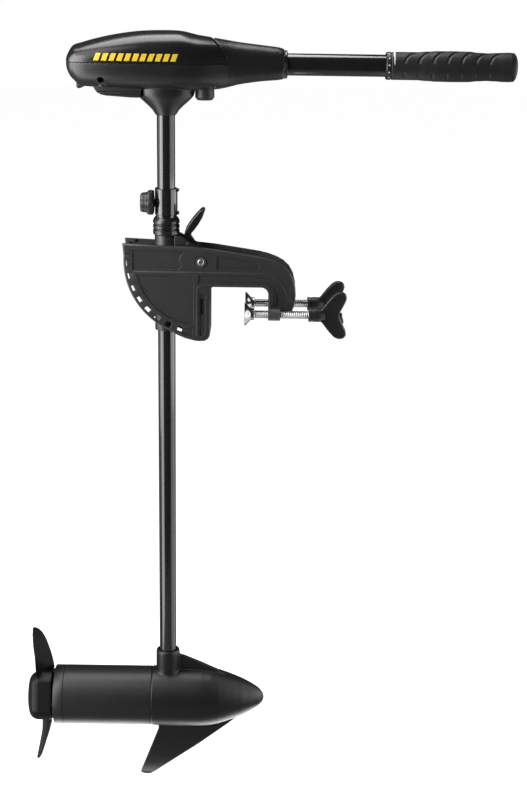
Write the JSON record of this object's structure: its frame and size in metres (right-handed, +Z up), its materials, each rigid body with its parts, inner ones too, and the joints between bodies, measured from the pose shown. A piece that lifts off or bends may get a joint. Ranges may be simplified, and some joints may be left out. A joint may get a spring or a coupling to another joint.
{
  "type": "transom-mount trolling motor",
  "caption": "Electric outboard for a small boat: clamp-on transom bracket, tilting and steering column, tiller head above and a propeller motor below.",
  "frame": {"origin": "centre of the underside of the bracket's bridge, which rests on top of the boat's transom", "axes": "+X forward into the boat, the way the tiller points; +Z up along the column; +Y to the left of someone facing +X"},
  "size_m": [0.757, 0.115, 1.2339],
  "materials": {
    "moulded_black": "satin moulded composite with a fine grain",
    "satin_black": "smooth satin moulding",
    "gloss_black": "smooth gloss composite tube",
    "painted_black": "satin powder coat on aluminium castings",
    "black_rubber": "moulded rubber",
    "bright_aluminium": "turned, lightly brushed",
    "steel": "stainless, turned",
    "copper": "turned copper",
    "dark_plastic": "fine matt moulding",
    "acetal": "low-friction plastic",
    "iron": "sintered magnet and laminated iron",
    "accent_yellow": "printed yellow stripe",
    "mark_white": "printed pale marks"
  },
  "bodies": {
    "bracket": {"transom_bracket": "moulded_black", "pivot_pin": "steel", "pivot_pin_clip": "steel"},
    "left_clamp_pad_body": {"left_clamp_pad": "bright_aluminium"},
    "left_clamp_screw_body": {"left_clamp_screw": "bright_aluminium", "left_clamp_handle": "moulded_black"},
    "right_clamp_pad_body": {"right_clamp_pad": "bright_aluminium"},
    "right_clamp_screw_body": {"right_clamp_screw": "bright_aluminium", "right_clamp_handle": "moulded_black"},
    "carrier": {"hinge_carrier": "moulded_black", "upper_shaft_bushing": "acetal", "lower_shaft_bushing": "acetal", "lever_pin": "steel"},
    "tension_ring": {"steering_tension_ring": "moulded_black"},
    "lever": {"release_lever": "moulded_black"},
    "latch": {"latch_pin": "steel", "latch_bar": "steel"},
    "collar": {"depth_collar": "moulded_black"},
    "collar_knob": {"depth_collar_knob": "moulded_black"},
    "column": {"shaft_tube": "gloss_black", "motor_lead": "acetal", "head_lower_housing": "moulded_black", "head_top_cover": "satin_black", "cover_screw_1": "steel", "cover_screw_2": "steel", "cover_screw_3": "steel", "cover_screw_4": "steel", "underside_plate": "dark_plastic", "lead_gland": "dark_plastic", "tiller_bezel": "dark_plastic", "speed_switch": "dark_plastic", "nose_housing": "painted_black", "motor_center_housing": "painted_black", "rear_end_housing": "painted_black", "front_o_ring": "black_rubber", "rear_o_ring": "black_rubber", "upper_magnet": "iron", "lower_magnet": "iron", "brush_plate": "acetal", "left_brush": "copper", "right_brush": "copper", "front_bearing": "steel", "rear_bearing": "steel", "shaft_seal": "dark_plastic", "left_through_bolt": "steel", "right_through_bolt": "steel"},
    "tiller": {"tiller_tube": "gloss_black", "speed_dial_ring": "moulded_black"},
    "grip": {"grip_core": "moulded_black", "grip_sleeve": "black_rubber", "grip_end_cap": "moulded_black", "drive_rod": "steel"},
    "switch": {"switch_rotor": "acetal"},
    "armature": {"armature_shaft": "steel", "armature_core": "iron", "commutator": "copper", "propeller": "moulded_black", "propeller_drive_pin": "steel", "propeller_nut": "steel", "propeller_washer": "steel"}
  },
  "joints": [
    {"name": "tilt", "type": "hinge", "parent": "bracket", "child": "carrier", "pos_m": [-0.051, 0, 0.039], "axis": [0, 1, 0], "range_deg": [0, 81.6]},
    {"name": "release_lever_turn", "type": "hinge", "parent": "carrier", "child": "lever", "pos_m": [-0.072, 0, 0.066], "axis": [0, 1, 0], "range_deg": [0, 35]},
    {"name": "latch_slide", "type": "slide", "parent": "carrier", "child": "latch", "axis": [-0.289, 0, -0.9573], "range_m": [0, 0.0093]},
    {"name": "steering_tension_turn", "type": "hinge", "parent": "carrier", "child": "tension_ring", "pos_m": [-0.105, 0, 0.089], "axis": [0, 0, 1], "range_deg": [-60, 60]},
    {"name": "steering", "type": "hinge", "parent": "carrier", "child": "collar", "pos_m": [-0.105, 0, 0.105], "axis": [0, 0, 1], "continuous": true},
    {"name": "depth_slide", "type": "slide", "parent": "collar", "child": "column", "axis": [0, 0, 1], "range_m": [-0.04, 0.4]},
    {"name": "depth_knob_turn", "type": "hinge", "parent": "collar", "child": "collar_knob", "pos_m": [-0.135, 0, 0.1255], "axis": [1, 0, 0], "range_deg": [-30, 720]},
    {"name": "tiller_extend", "type": "slide", "parent": "column", "child": "tiller", "axis": [1, 0, 0], "range_m": [-0.138, 0.01]},
    {"name": "speed_twist", "type": "hinge", "parent": "tiller", "child": "grip", "pos_m": [0.32, 0, 0.335], "axis": [1, 0, 0], "range_deg": [-100, 140]},
    {"name": "switch_turn", "type": "hinge", "parent": "column", "child": "switch", "pos_m": [-0.105, 0, 0.335], "axis": [1, 0, 0], "range_deg": [-100, 140]},
    {"name": "propeller_spin", "type": "hinge", "parent": "column", "child": "armature", "pos_m": [-0.205, 0, -0.7054], "axis": [1, 0, 0], "continuous": true},
    {"name": "right_clamp_slide", "type": "slide", "parent": "bracket", "child": "right_clamp_pad_body", "axis": [1, 0, 0], "range_m": [-0.0402, 0.0102]},
    {"name": "right_clamp_turn", "type": "hinge", "parent": "right_clamp_pad_body", "child": "right_clamp_screw_body", "pos_m": [0.072, -0.04, -0.0385], "axis": [1, 0, 0], "range_deg": [-4800, 1200]},
    {"name": "left_clamp_slide", "type": "slide", "parent": "bracket", "child": "left_clamp_pad_body", "axis": [1, 0, 0], "range_m": [-0.0402, 0.0102]},
    {"name": "left_clamp_turn", "type": "hinge", "parent": "left_clamp_pad_body", "child": "left_clamp_screw_body", "pos_m": [0.072, 0.04, -0.0385], "axis": [1, 0, 0], "range_deg": [-4800, 1200]}
  ],
  "couplings": [
    {"joint": "latch_slide", "follows": "release_lever_turn", "m_per_rad": 0.01522},
    {"joint": "switch_turn", "follows": "speed_twist", "ratio": 1},
    {"joint": "right_clamp_slide", "follows": "right_clamp_turn", "m_per_rad": 0.00047746},
    {"joint": "left_clamp_slide", "follows": "left_clamp_turn", "m_per_rad": 0.00047746}
  ]
}
